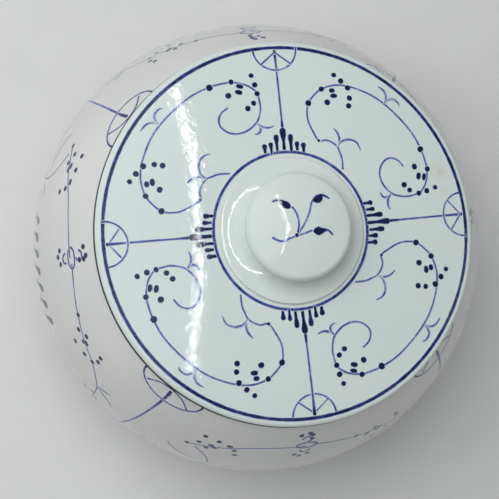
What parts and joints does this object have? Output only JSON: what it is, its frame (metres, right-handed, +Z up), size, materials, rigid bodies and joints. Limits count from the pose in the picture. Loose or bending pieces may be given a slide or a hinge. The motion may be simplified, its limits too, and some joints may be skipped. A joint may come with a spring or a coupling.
{
  "type": "lidded rice bowl",
  "caption": "Squat round porcelain bowl on a foot ring, with a flat lift-off lid, a button knob and painted cobalt scrolls.",
  "frame": {"origin": "centre of the foot ring, on the surface that the bowl stands on", "axes": "+Z up along the axis that the bowl, lid and knob are turned about"},
  "size_m": [0.203, 0.203, 0.1417],
  "materials": {
    "bowl_glaze": "clear gloss glaze over white porcelain with underglaze cobalt painting",
    "lid_glaze": "clear gloss glaze over white porcelain with underglaze cobalt painting",
    "knob_glaze": "clear gloss glaze over white porcelain with underglaze cobalt painting"
  },
  "bodies": {
    "bowl": {"bowl_body": "bowl_glaze"},
    "lid": {"lid": "lid_glaze", "lid_knob": "knob_glaze"}
  },
  "joints": [
    {"name": "lid_lift", "type": "slide", "parent": "bowl", "child": "lid", "axis": [0, 0, 1], "range_m": [0, 0.08]}
  ]
}
